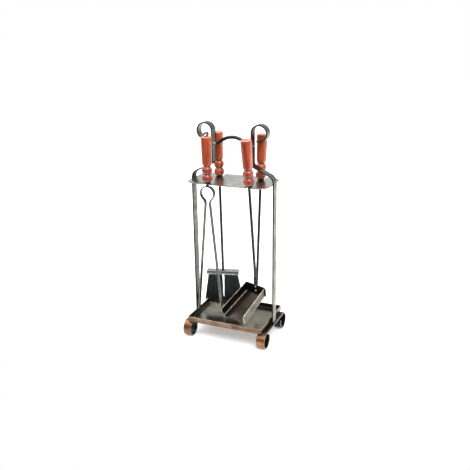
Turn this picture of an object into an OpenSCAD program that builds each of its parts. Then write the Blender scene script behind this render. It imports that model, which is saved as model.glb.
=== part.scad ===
// Fireplace tool set: a stand with a drip tray and four hanging tools.
// Millimetres. +Z is up and -Y is the front. The origin is on the floor,
// under the middle of the whole set.

/* [Stand] */
// Width of the flat bar that the stand is bent from
bar_w = 25; // [20:1:32]
// Thickness of the flat bar
bar_t = 4; // [3:0.5:6]
// Height of the flat bar's top face at the tray
base_h = 49; // [42:1:60]
// How far the rolled feet reach past the tray at the front and back
foot_reach = 8.6; // [4:0.2:20]
// Angle at which each foot's roll ends, from level at the front and round under
foot_turn = 382; // [330:2:390]
// Depth of the flat ground on the underside of each foot
foot_flat = 0.4; // [0.2:0.1:1]
// Gap between the tray's side walls and the uprights
upright_gap = 5.4; // [1:0.1:7]
// Distance of each neck's middle from the stand's middle
neck_x = 59.5; // [52:0.5:72]
// Angle of the sloping shoulders above level
shoulder_slope = 24.8; // [15:0.2:40]
// Bend radius at the top of each upright, to the bar's middle
shoulder_r = 24; // [15:1:32]
// Bend radius where a shoulder turns up into the neck
neck_r = 14; // [9:1:20]
// Height above the plate's top face where the uprights start to bend in
shoulder_up = 0.9; // [0:0.1:20]
// Height of the middle of the rings above the plate's top face
ring_up = 138.1; // [126:0.1:180]
// Radius of the rings, to the bar's middle
ring_r = 22.5; // [16:0.5:30]
// Angle that each ring's bar turns through
ring_turn = 292; // [250:2:310]

/* [Tray] */
// Outside width of the tray
tray_w = 234.6; // [200:0.2:300]
// Outside depth of the tray
tray_d = 177; // [150:1:240]
// Height of the tray's walls
tray_h = 16.5; // [10:0.5:30]
// Thickness of the tray's sheet
tray_t = 1.6; // [1:0.2:3]
// Distance of the tray's rivets in front of and behind its middle
rivet_y = 58; // [30:1:70]

/* [Shelf plate] */
// Height of the plate's top face
plate_h = 473.4; // [440:0.1:570]
// Depth of the plate from front to back
plate_d = 134; // [120:1:180]
// Thickness of the plate
plate_t = 3; // [2:0.5:5]
// Corner radius of the plate
plate_r = 28; // [10:1:40]
// Width of the tenons that hold the plate in the uprights
plate_tenon_w = 14; // [8:1:18]

/* [Carry handle] */
// Diameter of the carry handle's round bar
carry_d = 10; // [8:0.5:12]
// Height of the bar's ends above the plate's top face
carry_up = 102.1; // [90:0.1:122]
// Rise of the arch from its ends to its top, to the bar's middle
carry_rise = 20.5; // [12:0.5:30]
// Bend radius at each end of the arch
carry_r = 13; // [9:1:18]
// Diameter of the bar's threaded ends
carry_thread_d = 6; // [5:0.5:8]

/* [Tools] */
// Distance of the tongs from the stand's middle
left_x = 55; // [50:1:70]
// Distance of the brush from the stand's middle
brush_x = 57.5; // [50:0.5:70]
// Distance of the right tools from the stand's middle
right_x = 71; // [64:1:80]
// Distance of the front tools in front of the stand's middle
front_y = 57; // [50:1:62]
// Distance of the back tools behind the stand's middle
back_y = 31; // [29:1:40]
// Diameter of the tools' round shafts
shaft_d = 8; // [6:0.5:10]
// Width of the notches that the shafts hang in
notch_w = 11; // [10.5:0.5:13]
// Length of a tool's handle above the plate
grip_h = 131; // [115:1:160]
// Largest radius of a wooden handle
grip_r = 15.5; // [12:0.5:16.5]
// Depth of the shaft inside a wooden handle
tang_h = 70; // [40:1:90]
// Radius of the flange that rests on the plate
flange_r = 9.5; // [8:0.5:12]

/* [Tongs] */
// Width of the tongs' spring strip
strip_w = 12; // [8:1:16]
// Thickness of the tongs' spring strip
strip_t = 3; // [2:0.25:4]
// Radius of the tongs' bow, to the strip's middle
bow_r = 20.5; // [16:0.5:26]
// Half the distance between the strips at the waist, to their middles
waist_x = 6.9; // [5.5:0.1:9]
// Height of the tongs' tips above the floor
tongs_tip_h = 79; // [72:1:110]
// Half the distance between the tips
tip_x = 38; // [28:1:48]

/* [Brush] */
// Height of the top of the brush head
head_h = 180; // [160:1:220]
// Width of the brush head
head_w = 100; // [80:1:120]
// Depth of the brush head from front to back
head_d = 22; // [16:1:30]
// Height of the brush head's channel
channel_h = 12; // [10:1:18]
// Height of the bristles' lower ends
bristle_h = 79; // [74:1:110]
// Width of the bristles at the head
tuft_top_w = 88; // [70:1:96]
// Width of the bristles at their lower ends
tuft_low_w = 120; // [90:1:130]
// Turn of the brush about its shaft
brush_turn = 13; // [0:1:20]
// Lean of the brush's shaft
brush_lean = 1; // [0:0.2:2]

/* [Shovel] */
// Height of the pan's back edge above the floor
pan_back_h = 149.6; // [130:0.1:200]
// Width of the pan at its back
pan_w = 74; // [60:1:90]
// Angle that each side wall flares out towards the front
pan_flare = 3.5; // [0:0.5:6]
// Length of the pan's floor
pan_l = 105; // [80:1:126]
// Height of the pan's side walls
pan_h = 26; // [14:1:30]
// Thickness of the pan's sheet
pan_t = 1.5; // [1:0.25:2.5]
// Slope of the pan's floor below square to the shaft
pan_slope = 24.7; // [15:0.1:40]
// Turn of the shovel about its shaft
shovel_turn = -21; // [-40:0.5:0]
// Lean of the shovel's shaft
shovel_lean = 5; // [0:0.5:6]

/* [Poker] */
// Height of the poker's point above the floor, along its shaft
poker_h = 83; // [75:1:120]
// Length of the poker's point
point_l = 22; // [12:1:26]
// Height of the hook above the poker's point
hook_up = 30; // [30:1:60]
// Bend radius of the poker's hook, to the bar's middle
hook_r = 10; // [8:1:16]
// Turn of the poker's hook about its shaft
hook_turn = 30; // [0:1:90]
// Lean of the poker's shaft
poker_lean = 2.2; // [0:0.2:4]

/* [Hidden] */
$fn = 64;
// Gap left round pieces that are pushed together by hand
slip = 0.05;
// Gap left between pieces that only hang or turn past each other
seat = 0.3;
// Degrees of turn for each straight step of a bent bar
bend_step = 6;
steel = [0.36, 0.36, 0.32];
copper = [0.48, 0.36, 0.28];
black = [0.12, 0.12, 0.12];
wood = [0.70, 0.29, 0.15];
bright = [0.65, 0.65, 0.62];

// Rolled feet: each roll is as high as the bar's top face and the ground flat
foot_r = (base_h + foot_flat) / 2;
foot_mid_r = foot_r - bar_t / 2;
foot_y = tray_d / 2 + foot_reach - foot_r;
foot_z = base_h - foot_r;
foot_bar_x = tray_w / 2;
foot_tenon_w = 14;

// Rivets through the tray's floor and the foot bars
rivet_r = 2.5;
rivet_x = foot_bar_x - bar_w / 4 - 1;

// Uprights: the bend at the shoulder, the slope, and the bend into the neck
upright_x = tray_w / 2 + upright_gap + bar_t;
upright_mid = upright_x - bar_t / 2;
shoulder_h = plate_h + shoulder_up;
ring_h = plate_h + ring_up;
plate_end = upright_x - bar_t;
bend = 90 - shoulder_slope;
shoulder_c = [upright_mid - shoulder_r, shoulder_h];
slope_start = shoulder_c + shoulder_r * [cos(bend), sin(bend)];
slope_l = (slope_start[0] - neck_x - neck_r * (1 - cos(bend))) / sin(bend);
neck_c = [neck_x + neck_r, slope_start[1] + slope_l * cos(bend) + neck_r * sin(bend)];

// Carry handle: a round bar with a shallow arch and two small bends
carry_h = plate_h + carry_up;
nut_t = 5;
carry_end = neck_x - bar_t / 2 - nut_t;
carry_run = 3;
carry_span = carry_end - carry_run;
carry_bend = 2 * atan(carry_rise / carry_span);
arch_r = carry_span / sin(carry_bend) - carry_r;
// The arch and the straight ends run a little way into the two bends, a hair thinner
carry_lap = 0.3;
carry_thin_d = carry_d - 0.02;
arch_turn = carry_bend + atan(carry_lap / arch_r);

// Wooden handles: two beads, then the barrel
grip_z = 3.4;
bead_r = 0.97 * grip_r;
bead_half = 10.7;
bead_cut = 48;
bead_low = grip_z + bead_half + 0.4;
bead_high = bead_low + 2 * bead_half + 0.8;
barrel_z = bead_high + bead_half + 2.5;

// Tongs: bow, waist and straight arms, measured from the plate's top face
bow_top = -plate_t - 5;
bow_gap = 0.2;
bow_c = [0, bow_top - strip_t / 2 - bow_r];
bow_end = -42;
waist_r = 18;
waist_run = (waist_x + waist_r - (bow_r + waist_r) * cos(bow_end)) / sin(bow_end);
waist_c = [waist_x + waist_r,
    bow_c[1] + (bow_r + waist_r) * sin(bow_end) - waist_run * cos(bow_end)];
tip_z = tongs_tip_h - plate_h;
arm_slope = atan((tip_x - waist_x) / (waist_c[1] - tip_z));
eye_r = 4.8;
eye_t = 2.8;
eye_pin_h = 18;

// Brush
channel_t = 1.2;
tuft_gap = 8;
tuft_low_gap = 4;
tuft_d = head_d - 2 * channel_t - 2;

// Shovel: the pan's back wall stands against the flattened end of the shaft
shovel_l = (plate_h - pan_back_h) / cos(shovel_lean);
flat_t = 4;
flat_w = 14;
flat_l = 40;
pan_start = [-flat_t / 2, -shovel_l];
pan_along = [-cos(pan_slope), -sin(pan_slope)];
pan_up = [-sin(pan_slope), cos(pan_slope)];
pan_round = 0.35 * pan_h;
back_wall_h = pan_h / cos(pan_slope) + 1;
ear_w = 4;
ear_r = 9;
pan_rivet_r = 2.5;

// Poker
poker_l = (plate_h - poker_h) / cos(poker_lean);
hook_d = shaft_d - 1.5;
hook_out = shaft_d / 2 + 3;
hook_tip_l = 12;

// The stand stands back from the origin, as the shovel's pan reaches out over its front
pan_fall = pan_slope + shovel_lean;
pan_reach = (pan_l - pan_round) * cos(pan_fall) + (pan_h - pan_round) * sin(pan_fall) + pan_round;
lip_reach = pan_reach - shovel_l * sin(shovel_lean) + flat_t / 2 * cos(shovel_lean);
lip_w = pan_w + 2 * pan_reach * tan(pan_flare);
lip_y = -front_y - lip_reach * cos(shovel_turn) - lip_w / 2 * sin(-shovel_turn);
stand_reach = tray_d / 2 + foot_reach;
setback = (max(-lip_y, stand_reach) - stand_reach) / 2;

// Puts a piece where the stand is
module on_stand() translate([0, setback, 0]) children();

// Points of an arc about c, from angle a to angle b
function arc(c, r, a, b) =
    let (n = max(2, ceil(abs(b - a) / bend_step)))
    [for (i = [0:n]) c + r * [cos(a + (b - a) * i / n), sin(a + (b - a) * i / n)]];

function reversed(p) = [for (i = [len(p) - 1:-1:0]) p[i]];

// Outline of a strip between its two edges
module strip_outline(edge_a, edge_b) polygon(concat(edge_a, reversed(edge_b)));

// Stands up a front view, drawn in X and Z, and gives it depth along Y
module deep(depth) rotate([90, 0, 0]) linear_extrude(depth, center = true) children();

// Stands up a side view, drawn in Y and Z, and gives it width along X
module wide(width) rotate([90, 0, 90]) linear_extrude(width, center = true) children();

/* ---- stand ---- */

// Four places on the tray's underside, over the two foot bars
module at_tray_rivets()
    for (x = [-rivet_x, rivet_x], y = [-rivet_y, rivet_y])
        translate([x, y, base_h]) children();

module tray() color(copper) on_stand() difference() {
    translate([-tray_w / 2, -tray_d / 2, base_h]) cube([tray_w, tray_d, tray_h]);
    translate([-tray_w / 2 + tray_t, -tray_d / 2 + tray_t, base_h + tray_t])
        cube([tray_w - 2 * tray_t, tray_d - 2 * tray_t, tray_h]);
    at_tray_rivets() cylinder(r = rivet_r + slip, h = 4 * bar_t, center = true);
}

module tray_rivets() color(steel) on_stand() at_tray_rivets() {
    translate([0, 0, -bar_t - 1]) cylinder(r = rivet_r, h = bar_t + tray_t + 2);
    translate([0, 0, -bar_t - 1.6]) cylinder(r = 1.7 * rivet_r, h = 1.6);
    translate([0, 0, tray_t]) intersection() {
        translate([0, 0, -2.4]) sphere(r = 4.9);
        cylinder(r = 6, h = 4);
    }
}

// One edge of a foot bar's side view, at distance off from the bar's middle
function foot_edge(off) = concat(
    reversed(arc([foot_y, foot_z], foot_mid_r + off, 90, 180 - foot_turn)),
    arc([-foot_y, foot_z], foot_mid_r + off, 90, foot_turn));

module foot_bar(side) color(steel) on_stand() difference() {
    translate([side * foot_bar_x, 0, 0]) wide(bar_w) intersection() {
        strip_outline(foot_edge(bar_t / 2), foot_edge(-bar_t / 2));
        translate([-tray_d, 0]) square([2 * tray_d, 2 * base_h]);
    }
    translate([side * upright_mid, 0, base_h])
        cube([bar_t + 2 * slip, foot_tenon_w + 2 * slip, 4 * bar_t], center = true);
    at_tray_rivets() cylinder(r = rivet_r + slip, h = 4 * bar_t, center = true);
}

module foot_bar_left() foot_bar(-1);
module foot_bar_right() foot_bar(1);

// One edge of the right upright's front view, from the foot bar up round the ring
function upright_edge(off) = concat(
    [[upright_mid + off, base_h]],
    arc(shoulder_c, shoulder_r + off, 0, bend),
    arc(neck_c, neck_r - off, 180 + bend, 180),
    arc([neck_x + ring_r, ring_h], ring_r - off, 180, 180 - ring_turn));

module upright() color(steel) difference() {
    union() {
        deep(bar_w) strip_outline(upright_edge(bar_t / 2), upright_edge(-bar_t / 2));
        translate([upright_x - bar_t, -foot_tenon_w / 2, base_h - bar_t])
            cube([bar_t, foot_tenon_w, 2 * bar_t]);
    }
    translate([upright_mid, 0, plate_h - plate_t / 2])
        cube([2 * bar_t, plate_tenon_w + 2 * slip, plate_t + 2 * slip], center = true);
    translate([neck_x, 0, carry_h]) rotate([0, 90, 0])
        cylinder(d = carry_thread_d + 2 * slip, h = 2 * bar_t, center = true);
}

module upright_left() on_stand() mirror([1, 0, 0]) upright();
module upright_right() on_stand() upright();

// The plate's outline, with its round corners
module plate_outline() {
    cx = plate_end - plate_r;
    cy = plate_d / 2 - plate_r;
    polygon(concat(arc([cx, cy], plate_r, 0, 90), arc([-cx, cy], plate_r, 90, 180),
        arc([-cx, -cy], plate_r, 180, 270), arc([cx, -cy], plate_r, 270, 360)));
}

// A notch for a shaft at x, y, open to the front (side -1) or the back (side 1)
module notch(x, y, side) translate([x, y]) {
    circle(d = notch_w);
    translate([-notch_w / 2, side > 0 ? 0 : -plate_d]) square([notch_w, plate_d]);
}

module shelf_plate() color(steel) on_stand() translate([0, 0, plate_h - plate_t])
    linear_extrude(plate_t) difference() {
        union() {
            plate_outline();
            square([2 * upright_x, plate_tenon_w], center = true);
        }
        notch(-left_x, -front_y, -1);
        notch(right_x, -front_y, -1);
        notch(-brush_x, back_y, 1);
        notch(right_x, back_y, 1);
    }

// A round bar bent about c in the front view, from angle a to angle b
module bent_bar(c, r, a, b, d) translate([c[0], 0, c[1]]) rotate([90, 0, 0]) rotate([0, 0, a])
    rotate_extrude(angle = b - a) translate([r, 0]) circle(d = d);

// A round bar along X from a to b, at height z
module level_bar(a, b, z, d) translate([a, 0, z]) rotate([0, 90, 0]) cylinder(d = d, h = b - a);

module carry_bar_end() {
    bent_bar([carry_span, carry_h + carry_r], carry_r, -90 - carry_bend, -90, carry_d);
    level_bar(carry_span - carry_lap, carry_end, carry_h, carry_thin_d);
    level_bar(carry_end - 1, neck_x + bar_t / 2 + 0.8, carry_h, carry_thread_d);
}

module carry_handle() color(steel) on_stand() {
    bent_bar([0, carry_h + carry_rise - arch_r], arch_r, 90 - arch_turn, 90 + arch_turn, carry_thin_d);
    carry_bar_end();
    mirror([1, 0, 0]) carry_bar_end();
}

module carry_nuts() color(bright) on_stand() for (side = [-1, 1])
    translate([side * (carry_end + nut_t / 2), 0, carry_h]) rotate([0, 90, 0]) difference() {
        cylinder(d = 1.9 * carry_thread_d, h = nut_t, center = true, $fn = 6);
        cylinder(d = carry_thread_d + 2 * slip, h = 2 * nut_t, center = true);
    }

/* ---- parts that every tool has ---- */

// Places a tool by the point where its shaft passes the plate's top face
module at_tool(x, y, turn = 0, lean = [0, 0, 0])
    on_stand() translate([x, y, plate_h]) rotate([0, 0, turn]) rotate(lean) children();

// Outline of one turned bead, from its lower to its upper neck
function bead(z) = [for (a = [-bead_cut:12:bead_cut])
    [bead_r * cos(a), z + bead_half * sin(a) / sin(bead_cut)]];

// Outline of a whole wooden handle
grip_outline = concat(
    [[0, grip_z]],
    bead(bead_low),
    bead(bead_high),
    [[0.64 * grip_r, barrel_z - 1], [0.78 * grip_r, barrel_z]],
    [[grip_r - 1.6, barrel_z + 8], [grip_r, grip_h - 9]],
    arc([grip_r - 3.4, grip_h - 3], 3, 0, 90),
    [[0, grip_h]]);

module grip() color(wood) difference() {
    rotate_extrude() polygon(grip_outline);
    cylinder(d = shaft_d + 2 * slip, h = tang_h + slip);
}

// A collar whose flange stays seat above the plate, leaning or not
module ferrule(lean = 0) color(black) {
    lift = seat + flange_r * sin(lean);
    difference() {
        union() {
            translate([0, 0, lift]) cylinder(r = flange_r, h = 2);
            translate([0, 0, lift]) cylinder(r = flange_r - 1.6, h = grip_z - lift);
        }
        cylinder(d = shaft_d + 2 * slip, h = 2 * grip_z);
    }
}

// A round shaft from depth l under the plate's top face up into the handle
module shaft(l) translate([0, 0, -l]) cylinder(d = shaft_d, h = l + tang_h);

/* ---- tongs ---- */

module at_tongs() at_tool(-left_x, -front_y) children();

module tongs_handle() at_tongs() difference() {
    grip();
    translate([0, 0, grip_h - eye_pin_h]) cylinder(r = 2.5 + slip, h = 2 * eye_pin_h);
}

module tongs_ferrule() at_tongs() ferrule();

module tongs_stem() color(black) at_tongs() shaft(-bow_top - seat);

// A small rolled eye on a pin, in the top of the tongs' handle
module tongs_hook() color(black) at_tongs() {
    translate([0, 0, grip_h - eye_pin_h + slip]) cylinder(r = 2.5, h = eye_pin_h + 1);
    translate([0, 0, grip_h + eye_r + eye_t / 2]) deep(strip_w) strip_outline(
        arc([0, 0], eye_r + eye_t / 2, -90, 200), arc([0, 0], eye_r - eye_t / 2, -90, 200));
}

// One edge of the right arm's front view, at distance off outside the strip's middle
function arm_edge(off) = concat(
    [[bow_gap, bow_c[1] + bow_r + off]],
    arc(bow_c, bow_r + off, 84, bow_end),
    arc(waist_c, waist_r - off, 180 + bow_end, 180 + arm_slope),
    [waist_c - (waist_r - off) * [cos(arm_slope), sin(arm_slope)]
        + (waist_c[1] - tip_z) * [tan(arm_slope), -1]]);

module tongs_arm() color(steel) deep(strip_w)
    strip_outline(arm_edge(strip_t / 2), arm_edge(-strip_t / 2));

module tongs_arm_left() at_tongs() mirror([1, 0, 0]) tongs_arm();
module tongs_arm_right() at_tongs() tongs_arm();

/* ---- brush ---- */

module at_brush() at_tool(-brush_x, back_y, brush_turn, [0, -brush_lean, 0]) children();

// Places a piece at the lower edge of the brush head's channel
module at_head() at_brush() translate([0, 0, head_h - channel_h - plate_h]) children();

module brush_handle() at_brush() grip();
module brush_ferrule() at_brush() ferrule(brush_lean);
module brush_shaft() color(black) at_brush() shaft(plate_h - head_h + channel_h - 3);

module brush_channel() color(steel) at_head() difference() {
    translate([-head_w / 2, -head_d / 2, 0]) cube([head_w, head_d, channel_h]);
    translate([-head_w / 2 + channel_t, -head_d / 2 + channel_t, -channel_h])
        cube([head_w - 2 * channel_t, head_d - 2 * channel_t, 2 * channel_h - channel_t]);
    cylinder(d = shaft_d + 2 * slip, h = 2 * channel_h);
}

module brush_block() color(black) at_head() {
    inset = channel_t + slip;
    difference() {
        translate([-head_w / 2 + inset, -head_d / 2 + inset, 0])
            cube([head_w - 2 * inset, head_d - 2 * inset, channel_h - inset]);
        translate([0, 0, 3 - slip]) cylinder(d = shaft_d + 2 * slip, h = channel_h);
    }
}

module brush_tuft() color(black) deep(tuft_d) {
    low = bristle_h - head_h + channel_h;
    polygon([[tuft_gap / 2, 0], [tuft_top_w / 2, 0],
        [tuft_low_w / 2, low], [tuft_low_gap / 2, low]]);
}

module brush_tuft_left() at_head() mirror([1, 0, 0]) brush_tuft();
module brush_tuft_right() at_head() brush_tuft();

/* ---- shovel ---- */

module at_shovel() at_tool(right_x, -front_y, shovel_turn, [shovel_lean, 0, 0]) children();

// Two places up the shaft's flattened end, on the face of the pan's back wall
module at_pan_rivets() for (up = [0.3, 0.75])
    translate([0, pan_start[0] - pan_t, -shovel_l + up * back_wall_h]) rotate([-90, 0, 0]) children();

module shovel_handle() at_shovel() grip();
module shovel_ferrule() at_shovel() ferrule(shovel_lean);

module shovel_shaft() color(black) at_shovel() difference() {
    union() {
        shaft(shovel_l - flat_l + 2);
        translate([-flat_w / 2, -flat_t / 2, -shovel_l + 3]) cube([flat_w, flat_t, flat_l]);
    }
    at_pan_rivets() cylinder(r = pan_rivet_r + slip, h = 2 * flat_t + pan_t);
}

// Side view of the pan with its walls, filled in
module pan_side() polygon(concat(
    [pan_start, pan_start + pan_l * pan_along],
    [for (p = arc([pan_l - pan_round, pan_h - pan_round], pan_round, 0, 90))
        pan_start + p[0] * pan_along + p[1] * pan_up],
    [pan_start + [0, pan_h / cos(pan_slope)]]));

// Top view of the pan, filled in, with its sides moved in by inset
module pan_plan(inset) {
    long = 2 * pan_l;
    back = pan_w / 2 - inset;
    front = back + long * tan(pan_flare);
    translate([0, pan_start[0], -shovel_l - pan_l]) linear_extrude(2 * pan_l)
        polygon([[back, 0], [-back, 0], [-front, -long], [front, -long]]);
}

// Side view of the space inside the pan
module pan_inside() {
    floor_back = pan_start + [-pan_t, pan_t * (1 / cos(pan_slope) - tan(pan_slope))];
    floor_front = floor_back + 2 * pan_l * pan_along;
    polygon([floor_back, floor_front, floor_front + [0, 4 * pan_l], floor_back + [0, 4 * pan_l]]);
}

// Front view of the back wall with its round ears, from the pan's floor up
module back_wall() {
    w = pan_w / 2 + ear_w;
    polygon(concat([[-pan_w / 2, 0], [pan_w / 2, 0], [w, ear_w]],
        arc([w - ear_r, back_wall_h - ear_r], ear_r, 0, 90),
        arc([ear_r - w, back_wall_h - ear_r], ear_r, 90, 180),
        [[-w, ear_w]]));
}

module shovel_pan() color(copper) at_shovel() difference() {
    union() {
        difference() {
            intersection() {
                wide(2 * pan_w) pan_side();
                pan_plan(0);
            }
            intersection() {
                wide(2 * pan_w) pan_inside();
                pan_plan(pan_t / cos(pan_flare));
            }
        }
        translate([0, pan_start[0] - pan_t / 2, -shovel_l]) deep(pan_t) back_wall();
    }
    at_pan_rivets() cylinder(r = pan_rivet_r + slip, h = 4 * pan_t, center = true);
}

module shovel_rivets() color(bright) at_shovel() at_pan_rivets() {
    cylinder(r = pan_rivet_r, h = pan_t + flat_t);
    translate([0, 0, -1.2]) cylinder(r = 1.6 * pan_rivet_r, h = 1.2);
}

/* ---- poker ---- */

module at_poker() at_tool(right_x, back_y, 0, [0, poker_lean, 0]) children();

module poker_handle() at_poker() grip();
module poker_ferrule() at_poker() ferrule(poker_lean);

module poker_shaft() color(black) at_poker() {
    shaft(poker_l - point_l);
    translate([0, 0, -poker_l]) cylinder(d1 = 1.5, d2 = shaft_d, h = point_l);
}

// A short prong that leaves the shaft's side and turns up
module hook_prong() {
    level_bar(0, hook_out, 0, hook_d);
    bent_bar([hook_out, hook_r], hook_r, -90, 0, hook_d);
    translate([hook_out + hook_r, 0, hook_r]) cylinder(d1 = hook_d, d2 = 1.5, h = hook_tip_l);
}

module poker_hook() color(black) at_poker()
    translate([0, 0, hook_up - poker_l]) rotate([0, 0, hook_turn]) difference() {
        hook_prong();
        cylinder(d = shaft_d, h = 4 * hook_r, center = true);
    }

tray();
foot_bar_left();
foot_bar_right();
upright_left();
upright_right();
shelf_plate();
carry_handle();
carry_nuts();
tray_rivets();
tongs_handle();
tongs_ferrule();
tongs_stem();
tongs_hook();
tongs_arm_left();
tongs_arm_right();
brush_handle();
brush_ferrule();
brush_shaft();
brush_channel();
brush_block();
brush_tuft_left();
brush_tuft_right();
shovel_handle();
shovel_ferrule();
shovel_shaft();
shovel_pan();
shovel_rivets();
poker_handle();
poker_ferrule();
poker_shaft();
poker_hook();
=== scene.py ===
"""Fireplace tool set: a bent flat-bar stand with a drip tray, tongs, brush, shovel and poker.

Lengths are in millimetres in the tables of sizes below and in the piece functions, and become
metres when a mesh is made. -Y is the front and +Z is up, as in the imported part.
"""
import math

import bmesh
import bpy
from mathutils import Matrix, Vector


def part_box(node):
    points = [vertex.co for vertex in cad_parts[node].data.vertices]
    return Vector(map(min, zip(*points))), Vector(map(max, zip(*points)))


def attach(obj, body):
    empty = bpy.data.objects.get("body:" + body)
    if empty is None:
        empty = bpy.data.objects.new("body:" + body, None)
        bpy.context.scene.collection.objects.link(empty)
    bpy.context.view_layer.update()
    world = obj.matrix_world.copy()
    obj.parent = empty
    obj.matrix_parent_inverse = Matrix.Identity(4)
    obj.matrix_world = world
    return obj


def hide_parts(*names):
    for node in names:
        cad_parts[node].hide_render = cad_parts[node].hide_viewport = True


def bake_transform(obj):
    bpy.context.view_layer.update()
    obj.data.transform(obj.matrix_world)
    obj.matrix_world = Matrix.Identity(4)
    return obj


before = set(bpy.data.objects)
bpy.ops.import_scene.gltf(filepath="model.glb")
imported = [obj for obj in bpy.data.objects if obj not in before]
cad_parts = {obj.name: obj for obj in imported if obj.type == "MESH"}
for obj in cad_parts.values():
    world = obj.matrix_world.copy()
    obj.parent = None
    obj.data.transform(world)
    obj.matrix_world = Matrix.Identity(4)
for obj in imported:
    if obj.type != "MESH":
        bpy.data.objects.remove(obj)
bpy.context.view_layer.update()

MM = 0.001
TINY = 0.04  # how far a smooth skin stays inside the faceted solid it stands for


# ---- sizes from the frame

def size_box(node):
    """Lowest and highest corner of a node, in millimetres."""
    low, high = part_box(node)
    return Vector(low) / MM, Vector(high) / MM


TRAY_LOW, TRAY_HIGH = size_box("tray")
PLATE_LOW, PLATE_HIGH = size_box("shelf_plate")
FOOT_LOW, FOOT_HIGH = size_box("foot_bar_right")
RING_HIGH = size_box("upright_right")[1]
STEM_LOW, STEM_HIGH = size_box("tongs_stem")
CARRY_LOW, CARRY_HIGH = size_box("carry_handle")

STAND_Y = (TRAY_LOW.y + TRAY_HIGH.y) / 2
BAR_T = 4.0
BAR_W = FOOT_HIGH.x - FOOT_LOW.x
BASE_Z = TRAY_LOW.z
PLATE_Z = PLATE_HIGH.z
PLATE_T = PLATE_HIGH.z - PLATE_LOW.z
TOP_Z = RING_HIGH.z
LEFT_X = (STEM_LOW.x + STEM_HIGH.x) / 2
FRONT_Y = (STEM_LOW.y + STEM_HIGH.y) / 2 - STAND_Y
RIGHT_X, BACK_Y = 71.0, 31.0
BRUSH_X, BRUSH_LEAN = -57.5, -1.0
SHAFT_R = (STEM_HIGH.x - STEM_LOW.x) / 2

# ---- camera, floor and light

CAMERA_TARGET = Vector((2.6, STAND_Y, 309.1)) * MM
CAMERA_DISTANCE = 1.881
CAMERA_YAW = math.radians(23.3)
CAMERA_PITCH = math.radians(18.6)
CAMERA_ROLL = math.radians(-0.8)
CAMERA_LENS = 49.3
LIGHT_TARGET = Vector((0.0, 0.0, 0.35))

# brightness of the sky by height: 0 is the horizon and 1 is overhead
FRONT_SKY = [(0.0, (0.26, 0.26, 0.27)), (0.32, (0.42, 0.42, 0.43)), (0.65, (0.85, 0.85, 0.86)),
             (1.0, (1.4, 1.4, 1.4))]
BACK_SKY = [(0.0, (0.80, 0.80, 0.80)), (0.30, (0.95, 0.95, 0.95)), (1.0, (1.4, 1.4, 1.4))]


def add_object(name, data):
    """Puts a new object in the scene."""
    obj = bpy.data.objects.new(name, data)
    bpy.context.scene.collection.objects.link(obj)
    return obj


def add_camera():
    """Looks at the set from the front, a little to the right and above."""
    data = bpy.data.cameras.new("camera")
    data.lens = CAMERA_LENS
    data.sensor_width = 36.0
    away = Vector((math.sin(CAMERA_YAW) * math.cos(CAMERA_PITCH),
                   -math.cos(CAMERA_YAW) * math.cos(CAMERA_PITCH), math.sin(CAMERA_PITCH)))
    camera = add_object("camera", data)
    turn = away.to_track_quat("Z", "Y").to_matrix().to_4x4()
    camera.matrix_world = (Matrix.Translation(CAMERA_TARGET + CAMERA_DISTANCE * away)
                           @ turn @ Matrix.Rotation(CAMERA_ROLL, 4, "Z"))
    bpy.context.scene.camera = camera


def add_light(name, place, size, power):
    """A soft square light at place, facing the set."""
    data = bpy.data.lights.new(name, "AREA")
    data.shape = "SQUARE"
    data.size = size
    data.energy = power
    light = add_object(name, data)
    light.location = place
    light.rotation_euler = (Vector(place) - LIGHT_TARGET).to_track_quat("Z", "Y").to_euler()


def add_studio():
    """A plain pale floor, a pale sky and three soft lights."""
    scene = bpy.context.scene
    world = bpy.data.worlds.new("studio")
    scene.world = world
    world.use_nodes = True
    tree = world.node_tree
    toward = put(tree, "ShaderNodeTexCoord").outputs["Generated"]
    height = axis(tree, toward, "Z")
    light = mix(tree, span(tree, axis(tree, toward, "Y"), 0.0, 0.7, 0.0, 1.0),
                ramp(tree, height, FRONT_SKY), ramp(tree, height, BACK_SKY))
    seen = put(tree, "ShaderNodeLightPath").outputs["Is Camera Ray"]
    wire(tree, tree.nodes["Background"], Color=mix(tree, seen, light, (1.0, 1.0, 1.0)), Strength=1.0)
    scene.view_settings.view_transform = "Standard"
    floor_finish, tree, shader = new_finish("studio_floor")
    wire(tree, shader, Base_Color=(0.93, 0.93, 0.925, 1.0), Roughness=0.9,
         Emission_Color=(1.0, 1.0, 1.0, 1.0), Emission_Strength=0.30)
    mesh = bpy.data.meshes.new("studio_floor")
    half, front = 9.0, -0.36
    mesh.from_pydata([(-half, front, 0), (half, front, 0), (half, half, 0), (-half, half, 0)],
                     [], [(0, 1, 2, 3)])
    mesh.materials.append(floor_finish)
    add_object("studio_floor", mesh)
    add_light("key", (1.5, -1.5, 2.6), 1.6, 55)
    add_light("fill", (-1.8, 0.2, 2.2), 1.6, 30)
    sun = bpy.data.lights.new("overhead", "SUN")
    sun.angle = math.radians(70)
    sun.energy = 1.6
    add_object("overhead", sun).rotation_euler = (math.radians(12), 0.0, 0.0)


# ---- finishes

def new_finish(name):
    """An empty material: returns it with its node tree and its shader."""
    mat = bpy.data.materials.new(name)
    mat.use_nodes = True
    return mat, mat.node_tree, mat.node_tree.nodes["Principled BSDF"]


def feed(tree, socket, value):
    """Links a socket to another one, or sets its own value."""
    if isinstance(value, bpy.types.NodeSocket):
        tree.links.new(value, socket)
    else:
        socket.default_value = value


def wire(tree, node, **inputs):
    """Feeds a node's inputs by name, with _ for a space."""
    for name, value in inputs.items():
        feed(tree, node.inputs[name.replace("_", " ")], value)
    return node


def put(tree, kind, **inputs):
    """Adds a node and feeds its inputs."""
    return wire(tree, tree.nodes.new(kind), **inputs)


def attribute(tree, name, output):
    """Reads one of the piece's own attributes."""
    node = tree.nodes.new("ShaderNodeAttribute")
    node.attribute_name = name
    return node.outputs[output]


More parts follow.
